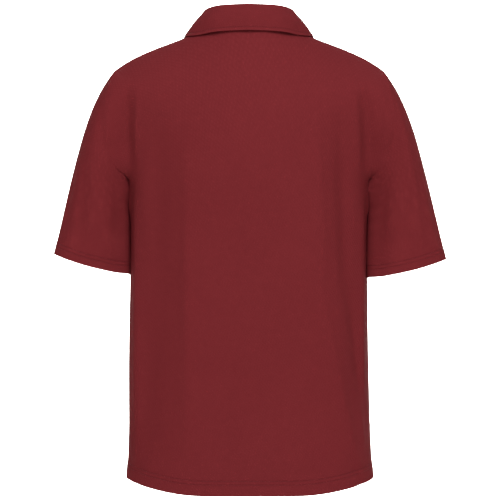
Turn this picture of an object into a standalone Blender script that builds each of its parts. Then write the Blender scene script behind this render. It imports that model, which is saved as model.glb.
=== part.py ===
"""A short-sleeved polo shirt, standing as it does on its wearer.

Metres, +Z up. The back of the shirt faces +Y and its front -Y, and the wearer's left
is +X. The origin is the middle of the neck, level with the tops of the shoulder seams.

Every piece of cloth is a wall of even thickness. Its outer face is a net of points:
rows run from the middle of a panel out to its seams, and go down from the neckline
along the shoulder, round the armhole and down the side to the hem. Pieces that are
sewn together use the same seam points, and stop a hair short of them on each side.
"""

import math

import bmesh
import bpy
import numpy as np
from mathutils import Vector
from mathutils.bvhtree import BVHTree

# The cloth
CLOTH = 0.0016
SEAM_GAP = 0.0003
HEM_RAISE = 0.0006

# How fine the nets are
HALF_COLUMNS = 13
STRIP_COLUMNS = 3
SHOULDER_ROWS = 5
ARMHOLE_ROWS = 12
SIDE_ROWS = 9
SLEEVE_ROWS = 8

# Shoulder seam, from the neck to the tip, as a curve with two handles (x, z)
SHOULDER_SEAM = ((0.0880, -0.0040), (0.1286, -0.0200), (0.1807, -0.0345), (0.2090, -0.0593))

# Armhole: an upright loop, with its x worked out from how high it is on the loop
ARMHOLE_MIDDLE = -0.14815
ARMHOLE_HALF_HEIGHT = 0.08885
ARMHOLE_X = (0.2225, 0.0040, -0.02475, 0.00725)
ARMHOLE_DEPTH_BACK = 0.068
ARMHOLE_DEPTH_FRONT = 0.066

# Sides and hem: the hem rises towards its sides, and the whole lower body leans a
# little to one side. The side seams end in vents.
SIDE_TOP = -0.237
HEM = -0.708
HEM_DEEP = 0.025
HEM_RISE = 0.018
HEM_RISE_FROM = 0.28
HEM_RISE_OVER = 0.62
HEM_CORNER = 0.003
HEM_SWAY = 0.0015
LOW_TOP = -0.450
VENT_TOP = -0.664
VENT_HALF_GAP = 0.006
VENT_FLARE = 0.003

# One row for each level section. Level runs 0 to 1 down the shoulder seam, to 2 round
# the armhole and to 3 down the side. Reach is the half width of the body's own
# section, square its exponent, and fold how far in the armpit's fold goes.
SECTION_COLUMNS = (
    "level", "reach", "square", "back_y", "back_z", "front_y", "front_z", "fold", "bulge"
)
SECTIONS = (
    (0.00, 0.0880, 2.00, 0.0780, 0.002, 0.0880, -0.065, 0.040, 0.0030),
    (0.40, 0.1500, 1.65, 0.0960, -0.042, 0.0990, -0.090, 0.045, 0.0050),
    (1.00, 0.2090, 2.05, 0.1130, -0.100, 0.1100, -0.122, 0.073, 0.0100),
    (1.25, 0.2160, 2.15, 0.1230, -0.132, 0.1190, -0.147, 0.080, 0.0050),
    (1.50, 0.2020, 2.30, 0.1305, -0.168, 0.1260, -0.177, 0.079, -0.0020),
    (1.75, 0.1890, 2.45, 0.1345, -0.209, 0.1305, -0.211, 0.056, -0.0030),
    (2.00, 0.1865, 2.55, 0.1352, -0.237, 0.1320, -0.237, 0.028, 0.0000),
    (2.10, 0.1843, 2.62, 0.1350, -0.284, 0.1328, -0.284, 0.028, 0.0000),
    (2.50, 0.1856, 2.70, 0.1335, -0.472, 0.1318, -0.472, 0.028, 0.0000),
    (2.80, 0.1875, 2.70, 0.1345, -0.614, 0.1330, -0.614, 0.028, 0.0000),
    (3.00, 0.1885, 2.70, 0.1360, -0.708, 0.1350, -0.708, 0.028, 0.0000),
)

# Soft folds that hang in the body, a row for each: where its top and bottom are, how
# far it spreads to its middle side and its outer side, and how high it stands
FOLD_COLUMNS = ("side", "x_top", "z_top", "x_end", "z_end", "inner", "outer", "height")
FOLDS = (
    ("back", 0.112, -0.150, 0.128, -0.600, 0.018, 0.030, -0.0060),
    ("back", 0.082, -0.160, 0.086, -0.660, 0.024, 0.014, 0.0028),
    ("back", -0.130, -0.130, -0.168, -0.590, 0.020, 0.030, -0.0065),
    ("back", -0.104, -0.150, -0.160, -0.690, 0.024, 0.014, 0.0030),
    ("front", 0.105, -0.180, 0.122, -0.620, 0.018, 0.030, -0.0055),
    ("front", -0.118, -0.170, -0.140, -0.600, 0.020, 0.030, -0.0060),
    ("front", -0.030, -0.420, -0.042, -0.720, 0.022, 0.022, -0.0030),
)

# Sleeves: the cuff's outer and inner ends (x, z) on each hand, its half depth, how much
# lower its outer and inner ends hang, and how flat and slanted it is beside the body.
# The handles bend the cloth from the armhole to the cuff, with a value for the outer
# side, the middle and the inner side.
CUFF_OUTER = {1: (0.3045, -0.3450), -1: (0.3080, -0.3530)}
CUFF_INNER = {1: (0.1856, -0.3770), -1: (0.1856, -0.3825)}
CUFF_DEPTH = 0.054
CUFF_DIP = 0.004
CUFF_FLAT = 0.60
CUFF_SLANT = -0.06
CUFF_HEM = 0.018
SLEEVE_LEAVES = ((0.68, -0.733), (0.48, -0.875), (0.12, -0.985))
SLEEVE_ARRIVES = ((0.24, -0.970), (0.14, -0.985), (0.00, -1.000))
SLEEVE_HANDLES = ((0.072, 0.110), (0.065, 0.075), (0.040, 0.050))
SLEEVE_BACK_LEAN = 0.35

# Collar: a row for each station from the middle of the back (0) to its front end (1),
# with the line it folds over at and the edge of its leaf
COLLAR_COLUMNS = (
    "station", "fold_x", "fold_y", "fold_z", "edge_x", "edge_y", "edge_z"
)
COLLAR = (
    (0.00, 0.0000, 0.0740, 0.0370, 0.0000, 0.0920, -0.0030),
    (0.22, 0.0400, 0.0620, 0.0365, 0.0520, 0.0800, -0.0040),
    (0.36, 0.0610, 0.0380, 0.0350, 0.0870, 0.0480, -0.0070),
    (0.48, 0.0700, 0.0060, 0.0310, 0.1020, 0.0060, -0.0058),
    (0.62, 0.0670, -0.0300, 0.0170, 0.1000, -0.0450, -0.0280),
    (0.80, 0.0440, -0.0640, -0.0120, 0.0780, -0.0900, -0.0660),
    (1.00, 0.0060, -0.0830, -0.0370, 0.0450, -0.1150, -0.0980),
)
COLLAR_ROUND = 0.0034
COLLAR_ROLL = 0.0012
COLLAR_TURNS = 4
COLLAR_STEPS = 4
COLLAR_CLEAR = 0.0024
COLLAR_END = 0.0018

# Placket and buttons
SLIT_HALF = 0.0155
SLIT_LEVEL = 1.0 + 9 / ARMHOLE_ROWS
PLACKET_HALF = 0.0175
PLACKET_TAIL = 0.14
UNDER_SHORT = 0.004
BUTTON_RADIUS = 0.0057
BUTTON_THICK = 0.0026
BUTTON_DROPS = (0.014, 0.068, 0.122)
BUTTON_SIDES = 18
BUTTON_LIFT = 0.0005

CLOTH_COLOUR = (0.173, 0.022, 0.026)
BUTTON_COLOUR = (0.120, 0.014, 0.018)


def clear_scene():
    for thing in list(bpy.data.objects):
        bpy.data.objects.remove(thing, do_unlink=True)


def material(name, colour, roughness):
    made = bpy.data.materials.new(name)
    made.use_nodes = True
    shader = made.node_tree.nodes["Principled BSDF"]
    shader.inputs["Base Color"].default_value = (*colour, 1.0)
    shader.inputs["Roughness"].default_value = roughness
    shader.inputs["Metallic"].default_value = 0.0
    return made


def smooth_value(places, values, at):
    """A cubic through the values that never swings past them."""
    places = np.asarray(places, float)
    values = np.asarray(values, float)
    gaps = np.diff(places)
    slopes = np.diff(values) / gaps
    leans = np.zeros(len(places))
    for i in range(1, len(places) - 1):
        if slopes[i - 1] * slopes[i] > 0:
            leans[i] = 2.0 / (1.0 / slopes[i - 1] + 1.0 / slopes[i])
    leans[0], leans[-1] = slopes[0], slopes[-1]
    k = int(np.clip(np.searchsorted(places, at) - 1, 0, len(gaps) - 1))
    t = min(max((at - places[k]) / gaps[k], 0.0), 1.0)
    start = (2 * t**3 - 3 * t**2 + 1) * values[k] + (t**3 - 2 * t**2 + t) * gaps[k] * leans[k]
    end = (3 * t**2 - 2 * t**3) * values[k + 1] + (t**3 - t**2) * gaps[k] * leans[k + 1]
    return start + end


def table_at(table, columns, by, at):
    """Every named column of a table, read between its rows by one of them."""
    order = 1 if table[0][columns.index(by)] < table[-1][columns.index(by)] else -1
    rows = table[::order]
    places = [row[columns.index(by)] for row in rows]
    return {name: smooth_value(places, [row[i] for row in rows], at) for i, name in enumerate(columns)}


def bezier(points, t):
    a, b, c, d = (np.asarray(p, float) for p in points)
    return (1 - t) ** 3 * a + 3 * t * (1 - t) ** 2 * b + 3 * t**2 * (1 - t) * c + t**3 * d


def smoothstep(t):
    t = np.clip(t, 0.0, 1.0)
    return t * t * (3 - 2 * t)


def armhole_point(angle):
    """The armhole loop: 90 degrees is its top, 0 the back, -90 the underarm."""
    rise = math.sin(angle)
    x = sum(c * rise**power for power, c in enumerate(ARMHOLE_X))
    depth = ARMHOLE_DEPTH_BACK if math.cos(angle) > 0 else ARMHOLE_DEPTH_FRONT
    return np.array((x, depth * math.cos(angle), ARMHOLE_MIDDLE + ARMHOLE_HALF_HEIGHT * rise))


def armhole_angle(level):
    return math.radians(90 - 180 * (level - 1))


def vent_open(z):
    return float(smoothstep((VENT_TOP - z) / (VENT_TOP - HEM)))


def seam_point(level, front):
    """Where a row of the front or back ends, on the wearer's left."""
    if level <= 1:
        x, z = bezier(SHOULDER_SEAM, level)
        return np.array((x, 0.0, z))
    if level < 2:
        angle = armhole_angle(level)
        return armhole_point(math.pi - angle if front else angle)
    z = SIDE_TOP + (HEM - SIDE_TOP) * (level - 2)
    part = vent_open(z)
    x = table_at(SECTIONS, SECTION_COLUMNS, "back_z", z)["reach"] + VENT_FLARE * part
    y = VENT_HALF_GAP * part
    return np.array((x, -y if front else y, z))


def fold_height(x, z, side):
    total = np.zeros_like(x)
    for name, x_top, z_top, x_end, z_end, inner, outer, height in FOLDS:
        if name != side:
            continue
        down = (z - z_top) / (z_end - z_top)
        middle = x_top + (x_end - x_top) * down
        off = (x - middle) * math.copysign(1.0, x_top)
        spread = np.where(off < 0, inner, outer)
        fade = smoothstep((down + 0.12) / 0.4) * smoothstep((1.25 - down) / 0.45)
        total += height * fade * np.exp(-((off / spread) ** 2))
    return total


def soften(line):
    """Rounds the corner where the cloth turns into the armpit, with both ends held."""
    reach = 3
    before = line[1 : reach + 1][::-1] * np.array((-1.0, 1.0))
    after = 2 * line[-1] - line[-reach - 1 : -1][::-1]
    wide = np.vstack((before, line, after))
    weights = np.array((1.0, 6.0, 15.0, 20.0, 15.0, 6.0, 1.0)) / 64.0
    return sum(w * wide[i : i + len(line)] for i, w in enumerate(weights))


def row_line(level, front, hand):
    """One row of a panel as a close chain of points, and how far along its fold is."""
    name_y, name_z = ("front_y", "front_z") if front else ("back_y", "back_z")
    edge = seam_point(level, front)
    if level < 2:
        middle_z = table_at(SECTIONS, SECTION_COLUMNS, "level", level)[name_z]
    else:
        middle_z = SIDE_TOP + (HEM - SIDE_TOP) * (level - 2)
    at = table_at(SECTIONS, SECTION_COLUMNS, name_z, middle_z)
    depth = at[name_y]
    power = 2.0 / at["square"]
    edge_y = abs(edge[1])
    half_width = at["reach"] if 1 < level < 2 else edge[0]
    turn = math.acos(min(1.0, (at["fold"] / depth) ** (1.0 / power)))
    rest = np.linspace(turn, math.pi / 2, 16)[1:]
    angles = np.concatenate((np.linspace(0.0, turn, 60), rest))
    line = np.column_stack(
        (half_width * np.sin(angles) ** power, depth * np.clip(np.cos(angles), 0, 1) ** power)
    )
    if 1 < level < 2:
        start, end = line[59], np.array((edge[0], edge_y))
        t = np.linspace(0.0, 1.0, 16)[1:, None]
        across = end - start
        out = np.array((-across[1], across[0])) / np.linalg.norm(across)
        line[60:] = start + across * t + out * at["bulge"] * 4 * t * (1 - t)
    elif level > 2:
        line[:, 1] += edge_y * smoothstep((line[:, 0] / half_width - 0.9) / 0.1)
    run = np.concatenate(((0.0,), np.cumsum(np.linalg.norm(np.diff(line, axis=0), axis=1))))
    split = run[59] - 0.022 * smoothstep((level - 2) / 0.4)
    steps = np.linspace(0.0, run[-1], max(8, int(run[-1] / 0.002)))
    line = np.column_stack([np.interp(steps, run, line[:, k]) for k in range(2)])
    line = soften(line)
    part = steps / steps[-1]
    z = middle_z + (edge[2] - middle_z) * part**2
    if level >= 2:
        low = smoothstep((LOW_TOP - z) / (LOW_TOP - HEM))
        rise = HEM_RISE * smoothstep((part - HEM_RISE_FROM) / HEM_RISE_OVER)
        z = z + low * (rise + HEM_CORNER * smoothstep((part - 0.94) / 0.06))
    tangent = np.gradient(line, axis=0)
    tangent /= np.linalg.norm(tangent, axis=1)[:, None]
    height = fold_height(hand * line[:, 0], z, "front" if front else "back")
    height *= smoothstep((1 - part) / 0.12)
    line = line + np.column_stack((-tangent[:, 1], tangent[:, 0])) * height[:, None]
    sway = HEM_SWAY * smoothstep((LOW_TOP - z) / (LOW_TOP - HEM))
    chain = np.column_stack((hand * line[:, 0] - sway, line[:, 1] * (-1 if front else 1), z))
    return chain, steps, split


def along(chain, steps, place):
    return np.array([np.interp(place, steps, chain[:, k]) for k in range(3)])


def column_places(length, split):
    inner = np.linspace(SLIT_HALF, split, HALF_COLUMNS - STRIP_COLUMNS)
    outer = np.linspace(split, length, STRIP_COLUMNS + 1)[1:]
    return np.concatenate(((0.0,), inner, outer))


def level_at_height(z):
    return 2 + (z - SIDE_TOP) / (HEM - SIDE_TOP)


def panel_levels():
    shoulder = np.linspace(0.0, 1.0, SHOULDER_ROWS + 1)
    armhole = np.linspace(1.0, 2.0, ARMHOLE_ROWS + 1)[1:]
    hem_top = level_at_height(HEM + HEM_DEEP)
    side = np.linspace(2.0, hem_top, SIDE_ROWS + 1)[1:]
    step = level_at_height(HEM + HEM_DEEP - 0.001)
    return np.concatenate((shoulder, armhole, side, (step, (step + 3) / 2, 3.0)))


def panel_net(front):
    """Rows of outer points, from the wearer's right edge to the left one."""
    net = []
    for level in panel_levels():
        row = []
        for hand in (-1, 1):
            chain, steps, split = row_line(level, front, hand)
            half = [along(chain, steps, p) for p in column_places(steps[-1], split)]
            row = half[::-1] if hand < 0 else row + half[1:]
        net.append(row)
    return np.array(net)


def sleeve_net(hand):
    """Rings of outer points, from the armhole to the cuff."""
    levels = np.linspace(1.0, 2.0, ARMHOLE_ROWS + 1)
    angles = [armhole_angle(v) for v in levels]
    angles += [-math.pi - a for a in angles[-2:0:-1]]
    outer, inner = (np.array((p[hand][0], 0.0, p[hand][1])) for p in (CUFF_OUTER, CUFF_INNER))
    middle, half = (outer + inner) / 2, (outer - inner) / 2
    hem_share = 1 - CUFF_HEM / np.linalg.norm(outer - armhole_point(math.pi / 2))
    shares = list(np.linspace(0.0, hem_share, SLEEVE_ROWS + 1)) + [hem_share + 0.004, 1.0]
    net = []
    for share in shares:
        ring = []
        for angle in angles:
            rise = math.sin(angle)
            start = armhole_point(angle)
            places = (-1.0, 0.0, 1.0)
            (leave_x, leave_z), (arrive_x, arrive_z), (first, last) = (
                [smooth_value(places, [p[k] for p in table[::-1]], rise) for k in (0, 1)]
                for table in (SLEEVE_LEAVES, SLEEVE_ARRIVES, SLEEVE_HANDLES)
            )
            sway = SLEEVE_BACK_LEAN * math.cos(angle) * max(0.0, -rise)
            leave = np.array((leave_x, sway, leave_z))
            arrive = np.array((arrive_x, 0.0, arrive_z))
            round_back = math.cos(angle)
            end = middle + half * max(rise, -(abs(rise) ** CUFF_FLAT))
            if rise < 0:
                round_back = math.copysign(abs(round_back) ** CUFF_FLAT, round_back)
                end[0] -= CUFF_SLANT * CUFF_DEPTH * round_back * rise
            end += np.array((0.0, CUFF_DEPTH * round_back, -CUFF_DIP * round_back**2))
            point = bezier((start, start + leave * first, end - arrive * last, end), share)
            ring.append(point * np.array((hand, 1.0, 1.0)))
        net.append(ring)
    return np.array(net)


class Piece:
    """The outer face of one piece of cloth: points, and faces that look outwards."""

    def __init__(self, name, points, faces, raise_by=None):
        self.name = name
        self.points = np.array(points, float)
        self.faces = faces
        self.raise_by = np.zeros(len(self.points)) if raise_by is None else raise_by

    def face_normal(self, face):
        corners = self.points[list(face)]
        if len(face) == 4:
            way = np.cross(corners[2] - corners[0], corners[3] - corners[1])
        else:
            way = np.cross(corners[1] - corners[0], corners[2] - corners[0])
        return way / (np.linalg.norm(way) + 1e-15)

    def edge(self):
        """Each free edge once, going round with the cloth on its left."""
        found = {}
        for face in self.faces:
            for a, b in zip(face, face[1:] + face[:1]):
                found[(a, b)] = face
        return {pair: face for pair, face in found.items() if pair[::-1] not in found}


def key(point):
    return tuple(int(round(c * 1e6)) for c in point)


def shared_normals(pieces):
    """One outward way for each point, the same for all the pieces that meet there."""
    inside = {}
    edges = {}
    for piece in pieces:
        rim = piece.edge()
        for face in piece.faces:
            way = piece.face_normal(face)
            for i in face:
                inside.setdefault(key(piece.points[i]), []).append(way)
        for (a, b), face in rim.items():
            ends = frozenset((key(piece.points[a]), key(piece.points[b])))
            edges.setdefault(ends, []).append(piece.face_normal(face))
    normals = {at: sum(ways) for at, ways in inside.items()}
    seams = {}
    for ends, ways in edges.items():
        if len(ways) == 2:
            way = ways[0] + ways[1]
            bend = 1.02 - float(ways[0] @ ways[1])
            for at in ends:
                seams.setdefault(at, []).append(bend * way / (np.linalg.norm(way) + 1e-9))
    for at, ways in seams.items():
        normals[at] = sum(ways)
    for at, way in normals.items():
        normals[at] = way / (np.linalg.norm(way) + 1e-12)
    edge_ways = {}
    for ends, ways in edges.items():
        total = sum(ways)
        edge_ways[ends] = total / (np.linalg.norm(total) + 1e-9)
    return normals, edge_ways


def grid_faces(rows, columns, closed, keep=lambda r, c: True):
    wide = columns if closed else columns - 1
    faces = []
    for r in range(rows - 1):
        for c in range(wide):
            if keep(r, c):
                here, below = r * columns, (r + 1) * columns
                n = (c + 1) % columns
                faces.append((here + c, below + c, below + n, here + n))
    return faces


def turned(faces, turn):
    return [face[::-1] for face in faces] if turn else faces


def cloth_solid(piece, normals, edge_ways, finish):
    """Gives a piece its wall: an inner face, and a rim that stops short of the seam."""
    outer = piece.points.copy()
    rim = piece.edge()
    inward = {}
    for a, b in rim:
        ends = frozenset((key(piece.points[a]), key(piece.points[b])))
        line = piece.points[b] - piece.points[a]
        way = np.cross(edge_ways[ends], line)
        for i in (a, b):
            inward.setdefault(i, []).append(way / np.linalg.norm(way))
    for i, (one, two) in inward.items():
        outer[i] += (one + two) * SEAM_GAP / 2 / max(0.4, 1 + one @ two)
    ways = np.array([normals.get(key(p), (0.0, 0.0, 0.0)) for p in piece.points])
    inner = outer - ways * CLOTH
    outer = outer + ways * piece.raise_by[:, None]
    count = len(outer)
    faces = list(piece.faces)
    faces += [tuple(i + count for i in face[::-1]) for face in piece.faces]
    faces += [(b, a, a + count, b + count) for a, b in rim]
    return mesh_object(piece.name, np.vstack((outer, inner)), faces, finish)


def mesh_object(name, points, faces, finish):
    used = sorted({i for face in faces for i in face})
    place = {old: new for new, old in enumerate(used)}
    mesh = bpy.data.meshes.new(name)
    mesh.from_pydata(
        [tuple(points[i]) for i in used], [], [tuple(place[i] for i in face) for face in faces]
    )
    shape = bmesh.new()
    shape.from_mesh(mesh)
    bmesh.ops.triangulate(shape, faces=shape.faces[:], quad_method="SHORT_EDGE")
    shape.to_mesh(mesh)
    shape.free()
    mesh.materials.append(finish)
    made = bpy.data.objects.new(name, mesh)
    bpy.context.collection.objects.link(made)
    mesh.shade_smooth()
    mesh.set_sharp_from_angle(angle=math.radians(50))
    return made


def panel_piece(name, net, front):
    levels = panel_levels()
    rows, columns = net.shape[:2]
    middle = HALF_COLUMNS
    slit = int(np.argmin(abs(levels - SLIT_LEVEL)))

    def keep(row, column):
        return not (front and row < slit and middle - 1 <= column <= middle)

    faces = turned(grid_faces(rows, columns, False, keep), not front)
    raised = np.where(levels >= level_at_height(HEM + HEM_DEEP - 0.0011), HEM_RAISE, 0.0)
    return Piece(name, net.reshape(-1, 3), faces, np.repeat(raised, columns))


def sleeve_piece(name, hand):
    net = sleeve_net(hand)
    rings, columns = net.shape[:2]
    faces = turned(grid_faces(rings, columns, True), hand < 0)
    raised = np.zeros(rings)
    raised[-2:] = HEM_RAISE
    return Piece(name, net.reshape(-1, 3), faces, np.repeat(raised, columns))


def neckline(nets):
    """Points of the neckline from the wearer's left front end, round the back."""
    chain, steps, split = row_line(0.0, True, 1)
    left = [along(chain, steps, COLLAR_END)] + list(nets["front"][0][HALF_COLUMNS + 1 :])
    chain, steps, split = row_line(0.0, True, -1)
    right = list(nets["front"][0][:HALF_COLUMNS]) + [along(chain, steps, COLLAR_END)]
    return np.array(left + list(nets["back"][0][-2:0:-1]) + right)


def collar_section(base, up, at, hand):
    """One station of the collar: up inside the stand, over the fold, down the leaf."""
    fold = np.array((hand * at["fold_x"], at["fold_y"], at["fold_z"]))
    edge = np.array((hand * at["edge_x"], at["edge_y"], at["edge_z"]))
    out = (edge - fold) * np.array((1.0, 1.0, 0.0))
    out /= np.linalg.norm(out)
    rise = np.array((0.0, 0.0, 1.0))
    centre = fold - rise * COLLAR_ROUND
    points = [base + up * SEAM_GAP, (base + centre - out * COLLAR_ROUND) / 2]
    for step in range(COLLAR_TURNS + 1):
        angle = math.pi * (1 - step / COLLAR_TURNS)
        points.append(centre + (out * math.cos(angle) + rise * math.sin(angle)) * COLLAR_ROUND)
    start = points[-1]
    for step in range(1, COLLAR_STEPS + 1):
        t = step / COLLAR_STEPS
        sag = COLLAR_ROLL * 4 * t * (1 - t)
        points.append(start + (edge - start) * t + (out + rise) * sag)
    return points


def collar_piece(nets, normals, skin):
    """The folded collar, and the way its foot is thick, which is the panels' own."""
    base = neckline(nets)
    run = np.concatenate(((0.0,), np.cumsum(np.linalg.norm(np.diff(base, axis=0), axis=1))))
    middle = len(base) // 2
    rows = []
    foot_ways = []
    for i, point in enumerate(base):
        station = abs(run[i] - run[middle]) / run[middle]
        at = table_at(COLLAR, COLLAR_COLUMNS, "station", station)
        way = np.array(normals.get(key(point), (0.0, -0.9, 0.43)))
        along_neck = base[min(i + 1, len(base) - 1)] - base[max(i - 1, 0)]
        up = np.cross(along_neck, way)
        up *= math.copysign(1.0, up[2]) / np.linalg.norm(up)
        row = collar_section(point - way * CLOTH, up, at, 1 if i <= middle else -1)
        for k in range(len(row) - COLLAR_STEPS, len(row)):
            spot, face, _, _ = skin.find_nearest(Vector(row[k]))
            above = (Vector(row[k]) - spot).dot(face)
            if above < CLOTH + COLLAR_CLEAR:
                row[k] = np.array(spot + face * (CLOTH + COLLAR_CLEAR))
        rows.append(row)
        foot_ways.append(-way / np.linalg.norm(way))
    net = np.array(rows)
    faces = turned(grid_faces(len(rows), net.shape[1], False), True)
    return Piece("collar", net.reshape(-1, 3), faces), dict(zip(map(key, net[:, 0]), foot_ways))


def placket_net(places, levels, lift):
    """Points of the front, beside its middle, moved out from it."""
    net = []
    for level in levels:
        row = []
        for place in places:
            chain, steps, split = row_line(level, True, -1 if place < 0 else 1)
            row.append(along(chain, steps, abs(place)))
        net.append(row)
    net = np.array(net)
    down = np.gradient(net, axis=0)
    across = np.gradient(net, axis=1)
    ways = np.cross(across, down)
    ways *= np.where(ways[..., 1:2] > 0, -1.0, 1.0) / np.linalg.norm(ways, axis=2)[..., None]
    return net + ways * lift, ways


def strip_piece(name, places, levels, lift):
    net, ways = placket_net(places, levels, lift)
    faces = grid_faces(len(levels), len(places), False)
    return Piece(name, net.reshape(-1, 3), faces), ways


def button_object(name, centre, way, finish):
    """A turned button with a raised rim, set on the cloth by its round back."""
    profile = (
        (0.0, 0.0),
        (0.80, 0.0),
        (1.0, 0.35),
        (1.0, 0.75),
        (0.88, 1.0),
        (0.74, 1.0),
        (0.62, 0.72),
        (0.0, 0.72),
    )
    shape = bmesh.new()
    rings = []
    for radius, height in profile[1:-1]:
        ring = []
        for i in range(BUTTON_SIDES):
            turn = 2 * math.pi * i / BUTTON_SIDES
            spot = (math.cos(turn) * radius * BUTTON_RADIUS, math.sin(turn) * radius * BUTTON_RADIUS)
            ring.append(shape.verts.new((*spot, height * BUTTON_THICK)))
        rings.append(ring)
    for low, high in zip(rings, rings[1:]):
        for i in range(BUTTON_SIDES):
            n = (i + 1) % BUTTON_SIDES
            shape.faces.new((low[i], low[n], high[n], high[i]))
    shape.faces.new(rings[0][::-1])
    shape.faces.new(rings[-1])
    mesh = bpy.data.meshes.new(name)
    place = Vector(way).to_track_quat("Z", "Y").to_matrix().to_4x4()
    place.translation = Vector(centre)
    shape.transform(place)
    bmesh.ops.triangulate(shape, faces=shape.faces[:])
    shape.to_mesh(mesh)
    shape.free()
    mesh.materials.append(finish)
    made = bpy.data.objects.new(name, mesh)
    bpy.context.collection.objects.link(made)
    mesh.shade_smooth()
    mesh.set_sharp_from_angle(angle=math.radians(40))
    return made


def build():
    clear_scene()
    cloth = material("cloth", CLOTH_COLOUR, 0.9)
    shell = material("button", BUTTON_COLOUR, 0.35)
    nets = {"back": panel_net(False), "front": panel_net(True)}
    body = [
        panel_piece("back", nets["back"], False),
        panel_piece("front", nets["front"], True),
        sleeve_piece("sleeve_left", 1),
        sleeve_piece("sleeve_right", -1),
    ]
    normals, edge_ways = shared_normals(body)
    points = [tuple(p) for piece in body for p in piece.points]
    faces = []
    for piece in body:
        first = sum(len(other.points) for other in body[: body.index(piece)])
        faces += [tuple(i + first for i in face) for face in piece.faces]
    skin = BVHTree.FromPolygons(points, faces)
    for piece in body:
        cloth_solid(piece, normals, edge_ways, cloth)

    collar, foot_ways = collar_piece(nets, normals, skin)
    levels = list(panel_levels())
    slit = int(np.argmin([abs(v - SLIT_LEVEL) for v in levels]))
    under_places = np.linspace(-1, 1, 5) * (SLIT_HALF - SEAM_GAP)
    under_levels = levels[:slit] + [levels[slit] - UNDER_SHORT]
    under, _ = strip_piece("placket_under", under_places, under_levels, 0.0)
    upper_places = np.linspace(-1, 1, 5) * PLACKET_HALF
    upper_levels = levels[: slit + 1] + [levels[slit] + PLACKET_TAIL]
    upper, ways = strip_piece("placket_upper", upper_places, upper_levels, CLOTH + SEAM_GAP)
    for piece in (collar, under, upper):
        own, own_edges = shared_normals([piece])
        own.update(foot_ways)
        cloth_solid(piece, own, own_edges, cloth)

    line = upper.points.reshape(len(upper_levels), -1, 3)[:, 2]
    run = np.concatenate(((0.0,), np.cumsum(np.linalg.norm(np.diff(line, axis=0), axis=1))))
    for number, drop in enumerate(BUTTON_DROPS, start=1):
        spot = [np.interp(drop, run, line[:, k]) for k in range(3)]
        way = np.array([np.interp(drop, run, ways[:, 2, k]) for k in range(3)])
        way /= np.linalg.norm(way)
        button_object(f"button_{number}", spot + way * BUTTON_LIFT, way, shell)


build()
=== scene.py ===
# %% [markdown]
# # A polo shirt, seen from behind
#
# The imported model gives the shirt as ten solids: a back, a front, two sleeves, a folded
# collar, two placket strips and three buttons. They are right in size and place, and
# plain. This script dresses them: it refines the cloth, presses folds into it, sews it
# with real stitches and gives it a knitted surface. The shirt is filled out as if it
# were worn, with nobody in it.

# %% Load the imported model
import math

import bmesh
import bpy
import numpy as np
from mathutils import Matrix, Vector
from mathutils.bvhtree import BVHTree
from mathutils.kdtree import KDTree


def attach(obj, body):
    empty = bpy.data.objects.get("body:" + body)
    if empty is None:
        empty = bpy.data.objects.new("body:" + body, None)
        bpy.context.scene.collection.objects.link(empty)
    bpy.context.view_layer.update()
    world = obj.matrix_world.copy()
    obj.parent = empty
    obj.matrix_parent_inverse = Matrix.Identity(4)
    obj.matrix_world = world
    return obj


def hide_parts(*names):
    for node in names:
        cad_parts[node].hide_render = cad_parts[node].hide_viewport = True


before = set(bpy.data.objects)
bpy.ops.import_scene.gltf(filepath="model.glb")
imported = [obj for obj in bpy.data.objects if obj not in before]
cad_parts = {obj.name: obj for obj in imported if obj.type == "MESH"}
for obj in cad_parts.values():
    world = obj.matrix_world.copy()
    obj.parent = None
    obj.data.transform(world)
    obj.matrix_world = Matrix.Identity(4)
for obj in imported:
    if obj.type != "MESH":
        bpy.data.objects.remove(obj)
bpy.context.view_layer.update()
print("nodes:", sorted(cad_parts))

# %% [markdown]
# ## Where the pieces are
#
# The solids are loose triangles. Merging their doubled corners gives one closed mesh a
# piece, and joining the triangles in pairs gives back the grid of quads that each
# pattern piece was drawn with. A grid of quads is what subdivision needs to stay smooth.
#
# Every piece is a wall with two faces. The edges where the wall turns over are its rims,
# and they are the only sharp ones, so the angle between two faces finds them.

# %% Turn a solid into an editable piece of cloth
RIM_ANGLE = math.radians(62)
WELD = 0.00001
FLAT_ENOUGH = math.radians(40)
SQUARE_ENOUGH = math.radians(75)


def cloth_copy(node, name):
    """A merged copy of a solid, in quads, with its rims marked as creases and seams."""
    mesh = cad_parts[node].data.copy()
    mesh.name = name
    shape = bmesh.new()
    shape.from_mesh(mesh)
    bmesh.ops.remove_doubles(shape, verts=shape.verts, dist=WELD)
    bmesh.ops.join_triangles(
        shape,
        faces=shape.faces,
        angle_face_threshold=FLAT_ENOUGH,
        angle_shape_threshold=SQUARE_ENOUGH,
    )
    crease = shape.edges.layers.float.new("crease_edge")
    for edge in shape.edges:
        rim = len(edge.link_faces) == 2 and edge.calc_face_angle() > RIM_ANGLE
        edge[crease] = 1.0 if rim else 0.0
        edge.smooth = not rim
        edge.seam = rim
    for face in shape.faces:
        face.smooth = True
    shape.to_mesh(mesh)
    shape.free()
    mesh.materials.clear()
    piece = bpy.data.objects.new(name, mesh)
    bpy.context.scene.collection.objects.link(piece)
    return piece


CLOTH_NODES = (
    "back",
    "front",
    "sleeve_left",
    "sleeve_right",
    "collar",
    "placket_under",
    "placket_upper",
)
cloth = {node: cloth_copy(node, node + "_cloth") for node in CLOTH_NODES}
for node, piece in cloth.items():
    quads = sum(len(face.vertices) == 4 for face in piece.data.polygons)
    print(f"{node}: {len(piece.data.polygons)} faces, {quads} of them quads")

# %% [markdown]
# ## Sorting the rims
#
# A rim is either sewn to a neighbour or finished as an edge. Which one it is follows from
# how near the neighbour lies: pieces that are sewn together are a hair apart. An upright
# finished edge of the body is a side vent, or high on the front the slit of the neck, and
# the rest is hem. Sorting the rims once lets the stitches ask for their own edge later.

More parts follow.
